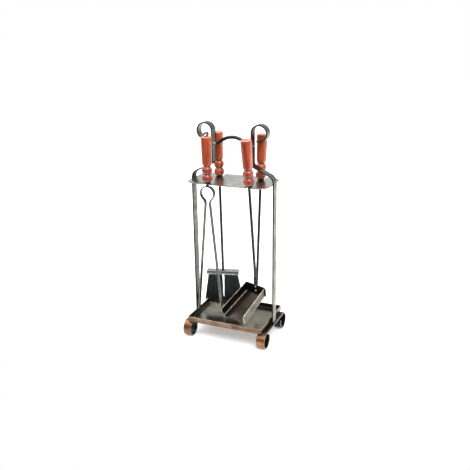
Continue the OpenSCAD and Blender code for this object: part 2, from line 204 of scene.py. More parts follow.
def axis(tree, source, letter):
    """One coordinate, X, Y or Z, of a place."""
    return put(tree, "ShaderNodeSeparateXYZ", Vector=source).outputs[letter]


def stretched(tree, source, scale):
    """The coordinates in source, scaled along each axis."""
    return put(tree, "ShaderNodeMapping", Vector=source, Scale=scale).outputs["Vector"]


def noise(tree, source, scale, detail=4.0, rough=0.55, distortion=0.0):
    """A cloudy value from 0 to 1."""
    return put(tree, "ShaderNodeTexNoise", Vector=source, Scale=scale, Detail=detail, Roughness=rough,
               Distortion=distortion).outputs["Fac"]


def ramp(tree, source, stops):
    """Colours along a value: stops are (position, colour)."""
    node = put(tree, "ShaderNodeValToRGB", Fac=source)
    band = node.color_ramp
    while len(band.elements) < len(stops):
        band.elements.new(0.5)
    for element, (position, colour) in zip(band.elements, stops):
        element.position = position
        element.color = (*colour, 1.0)
    return node.outputs["Color"]


def span(tree, source, from_low, from_high, to_low, to_high):
    """Maps a value from one range to another, and clamps it."""
    return put(tree, "ShaderNodeMapRange", Value=source, From_Min=from_low, From_Max=from_high,
               To_Min=to_low, To_Max=to_high).outputs["Result"]


def mix(tree, amount, a, b):
    """Mixes two colours."""
    node = tree.nodes.new("ShaderNodeMix")
    node.data_type = "RGBA"
    feed(tree, node.inputs["Factor"], amount)
    for socket, colour in zip(node.inputs[6:8], (a, b)):      # the colour sockets A and B
        feed(tree, socket, (*colour, 1.0) if isinstance(colour, tuple) else colour)
    return node.outputs[2]


def calc(tree, operation, a, b=0.0):
    """One sum on two values."""
    node = tree.nodes.new("ShaderNodeMath")
    node.operation = operation
    feed(tree, node.inputs[0], a)
    feed(tree, node.inputs[1], b)
    return node.outputs[0]


def relief(tree, height, strength, distance):
    """A normal for fine relief."""
    return put(tree, "ShaderNodeBump", Height=height, Strength=strength, Distance=distance).outputs["Normal"]


def metal_finish(name, dark, mid, light, worn, rough, metallic=1.0, coat=0.0, outside=None, painted_shade_heights=None):
    """Rolled or lacquered metal: cloudy patina, fine draw lines along the piece, worn edges, which also
    carry painted shade on the uprights' edges and a painted highlight on the pan's rims.

    dark, mid and light are the patina's colours, worn is the edges' colour: bare metal, and a darker
    painted shade on the uprights' strip. rough is a low and a high roughness. The last two are optional:
    a painted reflection colour for the outer face of a foot's roll, and a pair of heights between which
    painted shade darkens the metal downwards.
    """
    mat, tree, shader = new_finish(name)
    place = put(tree, "ShaderNodeTexCoord").outputs["Object"]
    along = attribute(tree, "along", "Vector")
    cloud = noise(tree, place, 26.0, 5.0, 0.6, 0.4)
    speck = noise(tree, place, 420.0, 3.0, 0.6)
    lines = noise(tree, stretched(tree, along, (14.0, 900.0, 900.0)), 1.0, 3.0, 0.6)
    colour = ramp(tree, cloud, [(0.30, dark), (0.52, mid), (0.72, light)])
    colour = mix(tree, span(tree, speck, 0.35, 0.75, 0.0, 0.35), colour, light)
    colour = mix(tree, span(tree, lines, 0.3, 0.7, 0.0, 0.30), colour, dark)
    # painted shade: between these heights the metal darkens towards the bottom
    if painted_shade_heights:
        colour = mix(tree, span(tree, axis(tree, place, "Z"), *painted_shade_heights, 0.72, 0.0), colour, dark)
    # painted reflection: a copper colour on the outer faces of the feet's rolls
    if outside:
        off = calc(tree, "ABSOLUTE", calc(tree, "SUBTRACT", axis(tree, place, "Y"), STAND_Y * MM))
        share = calc(tree, "MULTIPLY", span(tree, axis(tree, along, "Y"), -0.0012, -0.0018, 0.0, 0.92),
                     span(tree, off, 0.068, 0.082, 0.0, 1.0))
        streak = span(tree, cloud, 0.35, 0.62, 0.45, 1.0)
        colour = mix(tree, calc(tree, "MULTIPLY", share, streak), colour, outside)
    # worn edges; these values also carry painted shade on the uprights' edges and painted highlights on the
    # pan's rims
    patchy = span(tree, noise(tree, place, 120.0), 0.32, 0.60, 0.25, 1.0)
    colour = mix(tree, calc(tree, "MULTIPLY", attribute(tree, "wear_and_painted_light", "Fac"), patchy), colour, worn)
    wire(tree, shader, Base_Color=colour, Roughness=span(tree, cloud, 0.3, 0.7, rough[1], rough[0]),
         Metallic=metallic, Coat_Weight=coat, Coat_Roughness=0.12,
         Normal=relief(tree, calc(tree, "ADD", lines, speck), 0.25, 0.00012))
    return mat


def wood_finish():
    """Orange-brown stained and lacquered wood, with its grain along the handle."""
    mat, tree, shader = new_finish("lacquered_wood")
    along = attribute(tree, "along", "Vector")
    warp = noise(tree, stretched(tree, along, (60.0, 60.0, 9.0)), 1.0, 3.0, 0.5, 0.6)
    fibre = noise(tree, stretched(tree, along, (700.0, 700.0, 26.0)), 1.0, 4.0, 0.65)
    pores = noise(tree, stretched(tree, along, (1500.0, 1500.0, 90.0)), 1.0, 2.0, 0.5)
    colour = ramp(tree, warp, [(0.28, (0.20, 0.020, 0.006)), (0.45, (0.40, 0.048, 0.010)),
                               (0.60, (0.55, 0.098, 0.014)), (0.75, (0.66, 0.155, 0.021))])
    colour = mix(tree, span(tree, fibre, 0.42, 0.72, 0.0, 0.55), colour, (0.20, 0.022, 0.008))
    colour = mix(tree, span(tree, pores, 0.62, 0.75, 0.0, 0.6), colour, (0.12, 0.02, 0.01))
    groove_shade_and_rim_light = attribute(tree, "wear_and_painted_light", "Fac")
    # painted shade in the grooves
    colour = mix(tree, span(tree, groove_shade_and_rim_light, 0.0, 1.0, 0.0, 0.85), colour, (0.055, 0.014, 0.008))
    # painted highlight on the top rim
    colour = mix(tree, span(tree, groove_shade_and_rim_light, 0.0, -0.8, 0.0, 0.75), colour, (0.62, 0.34, 0.20))
    wire(tree, shader, Base_Color=colour, Roughness=span(tree, fibre, 0.3, 0.7, 0.30, 0.46),
         Coat_Weight=0.7, Coat_Roughness=0.10, Normal=relief(tree, fibre, 0.18, 0.00015))
    return mat


def bristle_finish():
    """Stiff black bristle, some strands a little paler than others."""
    mat, tree, shader = new_finish("black_bristle")
    place = put(tree, "ShaderNodeTexCoord").outputs["Object"]
    strand = noise(tree, stretched(tree, place, (900.0, 900.0, 40.0)), 1.0, 2.0)
    colour = ramp(tree, strand, [(0.35, (0.006, 0.008, 0.010)), (0.60, (0.018, 0.023, 0.028)),
                                 (0.78, (0.055, 0.065, 0.075))])
    wire(tree, shader, Base_Color=colour, Roughness=span(tree, strand, 0.3, 0.7, 0.38, 0.6))
    return mat


# the uprights' edge colour is darker than their patina: painted shade on the bar's edges
STRIP = ((0.040, 0.040, 0.031), (0.105, 0.105, 0.084), (0.24, 0.24, 0.195), (0.035, 0.035, 0.030),
         (0.24, 0.40))
# each metal's dark, middle and light patina, its bare edge, and its low and high roughness
METALS = {
    "pewter_strip": STRIP,
    # the left upright's copy, darkened low down by painted shade
    "strip_painted_shade_low": STRIP,
    # near black: painted shade under the tray and in the rolls, with a painted reflection on the rolls'
    # outer faces
    "foot_strip_painted_light": ((0.010, 0.010, 0.009), (0.026, 0.026, 0.021), (0.060, 0.060, 0.048),
                   (0.20, 0.19, 0.15), (0.24, 0.40)),
    "carry_steel": ((0.026, 0.026, 0.024), (0.060, 0.060, 0.055), (0.125, 0.125, 0.115),
                    (0.34, 0.34, 0.29), (0.26, 0.40)),
    "tongs_steel": ((0.014, 0.016, 0.013), (0.030, 0.034, 0.028), (0.075, 0.08, 0.065),
                    (0.20, 0.21, 0.17), (0.22, 0.36)),
    "shelf_pewter": ((0.24, 0.235, 0.215), (0.42, 0.41, 0.375), (0.58, 0.57, 0.53),
                     (0.34, 0.34, 0.29), (0.18, 0.30)),
    "channel_pewter": ((0.16, 0.16, 0.15), (0.28, 0.28, 0.26), (0.40, 0.40, 0.375),
                       (0.34, 0.34, 0.29), (0.20, 0.32)),
    "tray_floor": ((0.10, 0.098, 0.072), (0.18, 0.175, 0.130), (0.27, 0.262, 0.205),
                   (0.30, 0.26, 0.20), (0.16, 0.28)),
    # the tray's inner walls: painted shade, near black, on the same sheet
    "tray_inside_painted_shade": ((0.018, 0.015, 0.013), (0.042, 0.034, 0.028), (0.085, 0.068, 0.055),
                    (0.40, 0.32, 0.24), (0.24, 0.38)),
    "copper_finish": ((0.060, 0.036, 0.024), (0.135, 0.085, 0.056), (0.225, 0.150, 0.102),
                      (0.42, 0.33, 0.25), (0.24, 0.38)),
    "bronze_sheet": ((0.007, 0.007, 0.006), (0.024, 0.018, 0.014), (0.062, 0.045, 0.035),
                     (0.52, 0.46, 0.36), (0.22, 0.36)),
    # the pan walls' outer faces: lighter, a painted reflection of the tray floor
    "pan_outside": ((0.050, 0.046, 0.036), (0.115, 0.108, 0.082), (0.200, 0.190, 0.150),
                    (0.52, 0.46, 0.36), (0.20, 0.34)),
    "black_bar": ((0.010, 0.010, 0.011), (0.026, 0.026, 0.027), (0.060, 0.060, 0.061),
                  (0.22, 0.22, 0.21), (0.26, 0.42)),
    "bright_fixings": ((0.34, 0.34, 0.31), (0.52, 0.52, 0.49), (0.70, 0.70, 0.67),
                       (0.85, 0.85, 0.82), (0.16, 0.30)),
}
# painted shade low on the left upright, and a painted reflection on the feet's rolls
METAL_EXTRAS = {"strip_painted_shade_low": {"painted_shade_heights": (0.20, 0.34)}, "foot_strip_painted_light": {"outside": (0.34, 0.165, 0.080)},
                "bronze_sheet": {"metallic": 0.9}, "black_bar": {"metallic": 0.6, "coat": 0.15}}


def make_finishes():
    """Every finish by its name."""
    made = {name: metal_finish(name, *look, **METAL_EXTRAS.get(name, {})) for name, look in METALS.items()}
    return made | {"turned_wood": wood_finish(), "bristles": bristle_finish()}


# ---- outlines

# the corners of a rectangle: its sides along both axes, and the angle where the corner's arc starts
CORNERS = ((1, 1, 0), (-1, 1, 90), (-1, -1, 180), (1, -1, 270))


def arc(centre, radius, start, end, step=3.0):
    """Points about centre from one angle to another, in degrees."""
    count = max(2, math.ceil(abs(end - start) / step))
    angles = [math.radians(start + (end - start) * i / count) for i in range(count + 1)]
    return [(centre[0] + radius * math.cos(a), centre[1] + radius * math.sin(a)) for a in angles]


def straight(a, b, pitch=12.0):
    """Points between a and b, both left out."""
    count = max(1, int(math.dist(a, b) / pitch))
    return [(a[0] + (b[0] - a[0]) * i / count, a[1] + (b[1] - a[1]) * i / count)
            for i in range(1, count)]


def joined(*runs):
    """Joins runs of points with straight stretches, and drops doubled points."""
    out = list(runs[0])
    for run in runs[1:]:
        out += straight(out[-1], run[0])
        out += run
    clean = [out[0]]
    for point in out[1:]:
        if math.dist(point, clean[-1]) > 0.01:
            clean.append(point)
    return clean


def flat_section(thick, wide, edge=0.7, inset=1.0):
    """A flat bar's section with round edges: (across thickness, across width, worn edge and painted light).
    """
    a, b = thick / 2, wide / 2
    clear, least = edge + inset, 0.05
    points = []
    for side_a, side_b, start in CORNERS:
        centre = (side_a * (a - edge), side_b * (b - edge))
        turn = [(p, q, 1.0) for p, q in arc(centre, edge, start, start + 90, 30)]
        on_face = [(side_a * a, side_b * (b - clear), 0.0)] if clear < b - least else []
        on_edge = [(side_a * (a - clear), side_b * b, 0.0)] if clear < a - least else []
        points += on_face + turn + on_edge if start in (0, 180) else on_edge + turn + on_face
    return points


def round_section(radius, sides=24):
    """A round bar's section."""
    return [(radius * math.cos(math.tau * i / sides), radius * math.sin(math.tau * i / sides), 0.0)
            for i in range(sides)]


def rounded_rectangle(half_x, half_y, radius):
    """A rectangle with round corners."""
    return [point for side_x, side_y, start in CORNERS
            for point in arc((side_x * (half_x - radius), side_y * (half_y - radius)), radius,
                             start, start + 90, 15)]


def inset_outline(outline, amount):
    """The outline moved inwards by amount."""
    count = len(outline)
    out = []
    for i in range(count):
        a, b, c = (Vector(outline[(i + k) % count]) for k in (-1, 0, 1))
        into, out_of = (b - a).normalized(), (c - b).normalized()
        n1, n2 = Vector((-into.y, into.x)), Vector((-out_of.y, out_of.x))
        mid = (n1 + n2).normalized()
        out.append(b + mid * (amount / max(mid.dot(n1), 0.5)))
    return out


# ---- mesh makers

UPRIGHT_PLANE = Matrix(((1, 0, 0, 0), (0, 0, 1, 0), (0, 1, 0, 0), (0, 0, 0, 1)))
SIDE_PLANE = Matrix(((0, 0, 1, 0), (1, 0, 0, 0), (0, 1, 0, 0), (0, 0, 0, 1)))


def stand_place(x=0.0):
    """Where the stand is, or a piece of it that is x to the right."""
    return Matrix.Translation((x, STAND_Y, 0.0))


def shifted(place, *steps):
    """A place moved by steps along its own axes."""
    return place @ Matrix.Translation(steps)


def tool_place(x, y, turn=0.0, lean_x=0.0, lean_y=0.0):
    """The point where a tool's shaft passes the plate's top face."""
    return (Matrix.Translation((x, y + STAND_Y, PLATE_Z)) @ Matrix.Rotation(math.radians(turn), 4, "Z")
            @ Matrix.Rotation(math.radians(lean_y), 4, "Y") @ Matrix.Rotation(math.radians(lean_x), 4, "X"))


def make_piece(name, points, faces, finish, place, along=None, wear_and_painted_light=None):
    """A mesh object from points in millimetres, with its along attribute and its attribute of worn edges and
    painted light.
    """
    mesh = bpy.data.meshes.new(name)
    mesh.from_pydata([tuple((place @ Vector(p)) * MM) for p in points], [], faces)
    lie = mesh.attributes.new("along", "FLOAT_VECTOR", "POINT")
    for i, p in enumerate(along or points):
        lie.data[i].vector = Vector(p) * MM
    worn = mesh.attributes.new("wear_and_painted_light", "FLOAT", "POINT")
    for i, w in enumerate(wear_and_painted_light or [0.0] * len(points)):
        worn.data[i].value = w
    skin = bmesh.new()
    skin.from_mesh(mesh)
    bmesh.ops.remove_doubles(skin, verts=skin.verts, dist=1e-6)
    bmesh.ops.recalc_face_normals(skin, faces=skin.faces)
    skin.to_mesh(mesh)
    skin.free()
    for polygon in mesh.polygons:
        polygon.use_smooth = True
    mesh.materials.append(finishes[finish])
    return add_object(name, mesh)


def settle(obj):
    """Applies the piece's modifiers to its mesh."""
    graph = bpy.context.evaluated_depsgraph_get()
    mesh = bpy.data.meshes.new_from_object(obj.evaluated_get(graph))
    obj.modifiers.clear()
    obj.data = mesh


def bands(rows, size, closed=True):
    """The faces between rows of size points; closed joins each row's last point to its first."""
    return [(row * size + i, row * size + (i + 1) % size, (row + 1) * size + (i + 1) % size,
             (row + 1) * size + i) for row in range(rows - 1) for i in range(size if closed else size - 1)]


def lids(rows, size):
    """The faces that close the first and the last row."""
    return [tuple(reversed(range(size))), tuple((rows - 1) * size + i for i in range(size))]


def stack(loops, outline_at):
    """The points and edge values of loops (inset, height, edge value for worn edges and painted light), and
    the number of points in each loop.
    """
    points, wear_and_painted_light = [], []
    for inset, z, worn in loops:
        outline = outline_at(inset)
        points += [(p[0], p[1], z) for p in outline]
        wear_and_painted_light += [worn] * len(outline)
    return points, wear_and_painted_light, len(points) // len(loops)


def slab(name, outline, low, high, finish, place, edge=0.6):
    """A sheet cut to an outline, with rounded edges."""
    loops = [(edge, low, 0.4), (edge * 0.3, low + edge * 0.3, 1), (0, low + edge, 1),
             (0, high - edge, 1), (edge * 0.3, high - edge * 0.3, 1), (edge, high, 0.6),
             (edge + 1.2, high, 0)]
    points, wear_and_painted_light, size = stack(loops, lambda inset: inset_outline(outline, inset))
    faces = bands(len(loops), size) + lids(len(loops), size)
    piece = make_piece(name, points, faces, finish, place, wear_and_painted_light=wear_and_painted_light)
    for polygon in piece.data.polygons:
        polygon.use_smooth = len(polygon.vertices) < 5
    return piece


def sweep(name, path, section, finish, place, scales=None, ends=0.5, offset=0.0):
    """Carries a section along a path drawn in a plane. The section's first size lies across the
    path in the plane, and its second along the plane's normal. Its ends are rounded by ends."""
    body = []
    length = 0.0
    for i, (u, v) in enumerate(path):
        before, after = path[max(i - 1, 0)], path[min(i + 1, len(path) - 1)]
        direction = Vector((after[0] - before[0], after[1] - before[1])).normalized()
        if i:
            length += math.dist(path[i], path[i - 1])
        body.append((Vector((u, v)), direction, length, scales[i] if scales else 1.0, 0.0))
    (start, ahead, *first), (finish_at, back, *last) = body[0], body[-1]
    head = [(start + ahead * ends * k, ahead, *first[:2], ends * s) for k, s in ((0.0, 1.0), (0.3, 0.3))]
    tail = [(finish_at - back * ends * k, back, *last[:2], ends * s) for k, s in ((0.3, 0.3), (0.0, 1.0))]
    body[0] = (start + ahead * ends, ahead, *first)
    body[-1] = (finish_at - back * ends, back, *last)
    stations = head + body + tail
    points, along, wear_and_painted_light = [], [], []
    for centre, direction, run, scale, shrink in stations:
        across = Vector((direction.y, -direction.x))
        for a, b, worn in section:
            flat = centre + across * math.copysign(max(abs(a) * scale - shrink, 0.0), a)
            points.append((flat.x, flat.y, math.copysign(max(abs(b) * scale - shrink, 0.0), b)))
            along.append((run + offset, a * scale, b * scale))
            wear_and_painted_light.append(1.0 if shrink else worn)
    width = len(section)
    faces = [tuple(reversed(face)) for face in lids(len(stations), width)]
    faces += [(a, b, c, d) for a, d, c, b in bands(len(stations), width)]
    return make_piece(name, points, faces, finish, place, along, wear_and_painted_light)


def turned(name, profile, finish, place, sides=56, grain=0.0, shade=None):
    """Turns a profile of (radius, height) about the vertical. grain shifts the wood's pattern,
    and shade gives the painted shade and highlight at a radius and height."""
    points, along, wear_and_painted_light, faces, rows = [], [], [], [], []
    for radius, z in profile:
        count = sides if radius > 1e-4 else 1
        rows.append(range(len(points), len(points) + count))
        for i in range(count):
            a = math.tau * i / sides
            x, y = radius * math.cos(a), radius * math.sin(a)
            points.append((x, y, z))
            along.append((x + grain, y + grain, z + grain))
            wear_and_painted_light.append(shade(radius, z) if shade else 0.0)
    for low, high in zip(rows, rows[1:]):
        for i in range(sides):
            j = (i + 1) % sides
            if len(low) == 1:
                faces.append((low[0], high[j], high[i]))
            elif len(high) == 1:
                faces.append((low[i], low[j], high[0]))
            else:
                faces.append((low[i], low[j], high[j], high[i]))
    return make_piece(name, points, faces, finish, place, along, wear_and_painted_light)


def show(piece, body, slot, *nodes):
    """The piece moves with a body and stands for these nodes. slot is not used."""
    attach(piece, body)
    if nodes:
        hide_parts(*nodes)


finishes = make_finishes()

# ---- stand

PLATE_X = RING_HIGH.x                      # outer faces of the uprights
UPRIGHT_MID = PLATE_X - BAR_T / 2
SHOULDER_R, SHOULDER_SLOPE, SHOULDER_UP = 24.0, 24.8, 0.9
NECK_X, NECK_R = 59.5, 14.0
RING_R, RING_TURN = 22.5, 292.0
RING_Z = TOP_Z - RING_R - BAR_T / 2
CARRY_Z = CARRY_LOW.z + 5.0
CARRY_D, CARRY_RISE, CARRY_R, NUT_T = 10.0, 20.5, 13.0, 5.0
THREAD_R, THREAD_STEPS = 3.0, 40
CORNER_R, NOTCH_R, TENON_HALF = 28.0, 5.5, 7.0
SIDES = ((-1, "left"), (1, "right"))


def upright_path():
    """The middle of the right upright's flat bar, from the foot bar up round the ring."""
    bend = 90.0 - SHOULDER_SLOPE
    rad = math.radians(bend)
    shoulder = (UPRIGHT_MID - SHOULDER_R, PLATE_Z + SHOULDER_UP)
    slope_x = shoulder[0] + SHOULDER_R * math.cos(rad)
    slope_z = shoulder[1] + SHOULDER_R * math.sin(rad)
    slope_l = (slope_x - NECK_X - NECK_R * (1 - math.cos(rad))) / math.sin(rad)
    neck = (NECK_X + NECK_R, slope_z + slope_l * math.cos(rad) + NECK_R * math.sin(rad))
    return joined([(UPRIGHT_MID, BASE_Z)],
                  arc(shoulder, SHOULDER_R, 0, bend),
                  arc(neck, NECK_R, 180 + bend, 180),
                  arc((NECK_X + RING_R, RING_Z), RING_R - TINY, 180, 180 - RING_TURN))


def make_uprights():
    """The left upright is darkened low down by painted shade."""
    section = flat_section(BAR_T - TINY, BAR_W - TINY)
    for side, word in SIDES:
        path = [(side * u, v) for u, v in upright_path()]
        # painted shade darkens the left upright towards the bottom
        finish = "strip_painted_shade_low" if side < 0 else "pewter_strip"
        bar = sweep(f"upright_strip_{word}", path, section, finish,
                    stand_place() @ UPRIGHT_PLANE, ends=0.8, offset=side * 900.0)
        show(bar, "stand", "pewter_strip", f"upright_{word}")


def make_foot_bars():
    """Flat bars under the tray's sides, rolled into a scroll at each end."""
    roll_r = (BASE_Z + 0.4) / 2 - BAR_T / 2
    reach = (FOOT_HIGH.y - FOOT_LOW.y) / 2 - roll_r - BAR_T / 2
    centre_z = BASE_Z - BAR_T / 2 - roll_r
    turn_end = 382.0
    front = arc((-reach, centre_z), roll_r - TINY, turn_end, 90)
    back = arc((reach, centre_z), roll_r - TINY, 90, 180 - turn_end)
    path = joined(front, back)
    section = flat_section(BAR_T - TINY, BAR_W - TINY)
    for side, word in SIDES:
        x = (FOOT_LOW.x + FOOT_HIGH.x) / 2 * side
        # the feet's finish holds painted shade and a painted copper reflection
        bar = sweep(f"foot_strip_painted_light_{word}", path, section, "foot_strip_painted_light",
                    stand_place(x) @ SIDE_PLANE, ends=0.8, offset=side * 400.0)
        for vertex in bar.data.vertices:      # the flat ground under each roll
            vertex.co.z = max(vertex.co.z, 0.0)
        show(bar, "stand", "pewter_strip", f"foot_bar_{word}")


def make_tray():
    """Pressed sheet: floor, upright walls and a rolled top edge."""
    half_x = (TRAY_HIGH.x - TRAY_LOW.x) / 2 - TINY
    half_y = (TRAY_HIGH.y - TRAY_LOW.y) / 2 - TINY
    low, high, sheet, corner = TRAY_LOW.z, TRAY_HIGH.z, 1.6, 3.0
    lip = sheet / 2
    loops = [(2.2, low, 0), (0.6, low + 0.35, 0), (0.0, low + 1.6, 0), (0.0, low + 5, 0),
             (0.0, high - 4, 0), (0.0, high - 1.3, 0.5), (0.05, high - 0.45, 1), (lip * 0.6, high, 1),
             (lip * 1.4, high, 1), (sheet - 0.05, high - 0.45, 1), (sheet, high - 1.3, 0.5),
             (sheet, high - 4, 0), (sheet, low + sheet + 3, 0), (sheet + 0.4, low + sheet + 1.2, 0),
             (sheet + 1.2, low + sheet + 0.4, 0), (sheet + 3.0, low + sheet, 0), (16, low + sheet, 0)]
    points, wear_and_painted_light, size = stack(loops, lambda inset: rounded_rectangle(
        half_x - inset, half_y - inset, max(corner - inset * 0.6, 0.8)))
    faces = bands(len(loops), size) + lids(len(loops), size)
    tray = make_piece("drip_tray", points, faces, "copper_finish", stand_place(), wear_and_painted_light=wear_and_painted_light)
    tray.data.materials.append(finishes["tray_floor"])
    tray.data.materials.append(finishes["tray_inside_painted_shade"])
    for polygon in tray.data.polygons:
        centre = polygon.center / MM
        inwards = centre.x * polygon.normal.x + (centre.y - STAND_Y) * polygon.normal.y < 0.0
        if polygon.normal.z > 0.9 and centre.z < low + sheet + 0.3:
            polygon.material_index = 1
            polygon.use_smooth = False
        # inner wall faces get the painted shade
        elif inwards and low + sheet < centre.z < high - 0.7:
            polygon.material_index = 2
    show(tray, "stand", "copper_finish", "tray")


def plate_outline():
    """The plate's outline with its round corners and the four notches, anticlockwise."""
    half_x, half_y = PLATE_X - BAR_T, (PLATE_HIGH.y - PLATE_LOW.y) / 2

    def notch(x, y, side):
        bow = arc((x, y), NOTCH_R, *((180, 0) if side < 0 else (0, -180)), 10)
        return [(bow[0][0], side * half_y)] + bow + [(bow[-1][0], side * half_y)]

    front = notch(LEFT_X, FRONT_Y, -1) + notch(RIGHT_X, FRONT_Y, -1)
    back = notch(RIGHT_X, BACK_Y, 1) + notch(BRUSH_X, BACK_Y, 1)
    x, y = half_x - CORNER_R, half_y - CORNER_R
    return (arc((-x, -y), CORNER_R, 180, 270, 6) + front + arc((x, -y), CORNER_R, 270, 360, 6)
            + arc((x, y), CORNER_R, 0, 90, 6) + back + arc((-x, y), CORNER_R, 90, 180, 6))


def make_shelf_plate():
    """The plate, with a tenon at each end that shows on the upright's outer face."""
    plate = slab("shelf_sheet", plate_outline(), PLATE_LOW.z, PLATE_Z, "shelf_pewter", stand_place())
    show(plate, "stand", "pewter_strip", "shelf_plate")
    for side, word in SIDES:
        x0, x1 = sorted((side * (PLATE_X - BAR_T - 2.0), side * (PLATE_X - TINY)))
        outline = [(x0, -TENON_HALF), (x1, -TENON_HALF), (x1, TENON_HALF), (x0, TENON_HALF)]
        tenon = slab(f"plate_tenon_{word}", outline, PLATE_LOW.z + 0.05, PLATE_Z - 0.05,
                     "shelf_pewter", stand_place(), 0.4)
        show(tenon, "stand", "pewter_strip")


def make_carry_handle():
    """An arched round bar, with its ends through the necks."""
    end = NECK_X - BAR_T / 2 - NUT_T
    span_x = end - 3.0
    bend = 2 * math.degrees(math.atan(CARRY_RISE / span_x))
    arch_r = span_x / math.sin(math.radians(bend)) - CARRY_R
    low_z = CARRY_Z + CARRY_R
    left = arc((-span_x, low_z), CARRY_R, -90, -90 + bend)
    arch = arc((0, CARRY_Z + CARRY_RISE - arch_r), arch_r, 90 + bend, 90 - bend)
    right = arc((span_x, low_z), CARRY_R, -90 - bend, -90)
    path = joined([(-end, CARRY_Z)], left, arch, right, [(end, CARRY_Z)])
    bar = sweep("carry_bar", path, round_section(CARRY_D / 2 - TINY, 28), "carry_steel",
                stand_place() @ UPRIGHT_PLANE, ends=0.8)
    show(bar, "stand", "black_bar", "carry_handle")
    from_x, to_x = end - 2.0, CARRY_HIGH.x - TINY
    for side, word in SIDES:
        path = [(side * (from_x + (to_x - from_x) * i / THREAD_STEPS), CARRY_Z)
                for i in range(THREAD_STEPS + 1)]
        scales = [1.0 if i < 12 else 0.94 + 0.06 * (i % 2) for i in range(THREAD_STEPS + 1)]
        thread = sweep(f"carry_thread_{word}", path, round_section(THREAD_R - TINY), "bright_fixings",
                       stand_place() @ UPRIGHT_PLANE, scales, 0.4)
        show(thread, "stand", "bright_fixings")


def hexagon_nut(name, centre_x):
    """A nut on the carry bar's axis, with its bore and its chamfered faces."""
    half = [(3.05, 2.4), (3.6, 2.48), (4.6, 2.48), (5.6, 2.0), (5.7, 1.6)]
    profile = [(radius, -x) for radius, x in half] + half[::-1]
    sides, chamfer_r, across_flats = 72, 3.5, 9.8
    points = []
    for radius, x in profile:
        for i in range(sides):
            a = math.tau * i / sides
            within = a % (math.tau / 6) - math.pi / 6
            reach = min(radius, across_flats / 2 / math.cos(within)) if radius > chamfer_r else radius
            points.append((centre_x + x, reach * math.cos(a), CARRY_Z + reach * math.sin(a)))
    faces = []
    for row in range(len(profile)):
        for i in range(sides):
            j, up = (i + 1) % sides, (row + 1) % len(profile)
            faces.append((row * sides + i, up * sides + i, up * sides + j, row * sides + j))
    return make_piece(name, points, faces, "bright_fixings", stand_place())


def make_carry_nuts():
    """Hexagon nuts between the carry bar's shoulders and the necks."""
    for side, word in SIDES:
        nut = hexagon_nut(f"carry_nut_{word}", side * (NECK_X - BAR_T / 2 - NUT_T / 2))
        nut.data.polygons.foreach_set("use_smooth", [False] * len(nut.data.polygons))
        show(nut, "stand", "bright_fixings", *(["carry_nuts"] if side > 0 else []))


# ---- handles and shafts

GRIP_R, GRIP_H, GRIP_Z, BEAD_HALF = 15.5, 131.0, 3.4, 10.7
FLANGE_R = 9.5
SHAFT_TOP = 70.0        # how far each shaft goes up into its handle
STEM_DROP = 5.0         # from the plate's underside to the tongs' bow


def grip_profile():
    """Two beads, a neck and the barrel, from the bottom up."""
    bead_r, cut = 0.97 * GRIP_R - TINY, 48
    low = GRIP_Z + BEAD_HALF + 0.4
    high = low + 2 * BEAD_HALF + 0.8
    barrel = high + BEAD_HALF + 2.5

    def bead(z):
        squash = BEAD_HALF / math.sin(math.radians(cut))
        return [(bead_r * math.cos(math.radians(a)), z + squash * math.sin(math.radians(a)))
                for a in range(-cut, cut + 1, 6)]

    neck = 0.62 * GRIP_R
    profile = [(0.0, GRIP_Z), (neck * 0.9, GRIP_Z)] + bead(low) + bead(high)
    profile += [(0.60 * GRIP_R, barrel - 1.6), (0.635 * GRIP_R, barrel - 0.6), (0.74 * GRIP_R, barrel)]
    profile += [(0.79 * GRIP_R, barrel + 1.2), (0.83 * GRIP_R, barrel + 3.4),
                (0.872 * GRIP_R, barrel + 6.4), (GRIP_R - 1.65, barrel + 9.5)]
    low, top = barrel + 9.5, GRIP_H
    for i in range(1, 9):
        profile.append((GRIP_R - 1.65 + 1.5 * i / 8, low + (top - 9.5 - low) * i / 8))
    profile += [(GRIP_R - 0.3, top - 6.0)]
    profile += [(GRIP_R - 3.5 + x, top - 3.1 + z) for x, z in arc((0, 0), 3.0, 0, 78, 13)]
    profile += [(GRIP_R - 5.0, top - 0.12), (GRIP_R - 9.0, top - 0.5), (0.0, top - 0.6)]
    return profile


def painted_groove_shade_and_rim_light(radius, z):
    """Painted shade in the grooves between the beads, and a painted highlight on the top rim."""
    groove = GRIP_Z + 2 * BEAD_HALF + 0.8
    near = min(abs(z - g) for g in (GRIP_Z + 0.3, groove, groove + 2 * BEAD_HALF + 1.5))
    shade = max(0.0, 1.0 - near / 3.0) * (1.0 if radius < 12.4 else 0.4)
    rim = max(0.0, 1.0 - math.hypot(radius - (GRIP_R - 2.2), z - (GRIP_H - 0.9)) / 2.6)
    return shade - rim


def make_handle(tool, place, number):
    """A turned handle: its number gives it grain of its own."""
    grip = turned(f"{tool}_grip", grip_profile(), "turned_wood", place, 64, 110.0 * number, painted_groove_shade_and_rim_light)
    show(grip, tool, "turned_wood", f"{tool}_handle")


def make_ferrule(tool, place, lean=0.0):
    """The collar under a handle. lean lifts it clear of the plate."""
    lift = 0.3 + FLANGE_R * math.sin(math.radians(lean))
    bore, rim = SHAFT_R + 0.1, FLANGE_R - 0.04
    profile = [(bore, lift + 0.2), (bore + 0.4, lift), (FLANGE_R - 0.5, lift), (rim, lift + 0.5),
               (rim, lift + 1.6), (FLANGE_R - 0.5, lift + 2.0), (FLANGE_R - 1.7, lift + 2.05),
               (FLANGE_R - 1.7, GRIP_Z), (bore, GRIP_Z), (bore, lift + 0.2)]
    collar = turned(f"{tool}_collar", profile, "black_bar", place, 48)
    show(collar, tool, "black_bar", f"{tool}_ferrule")


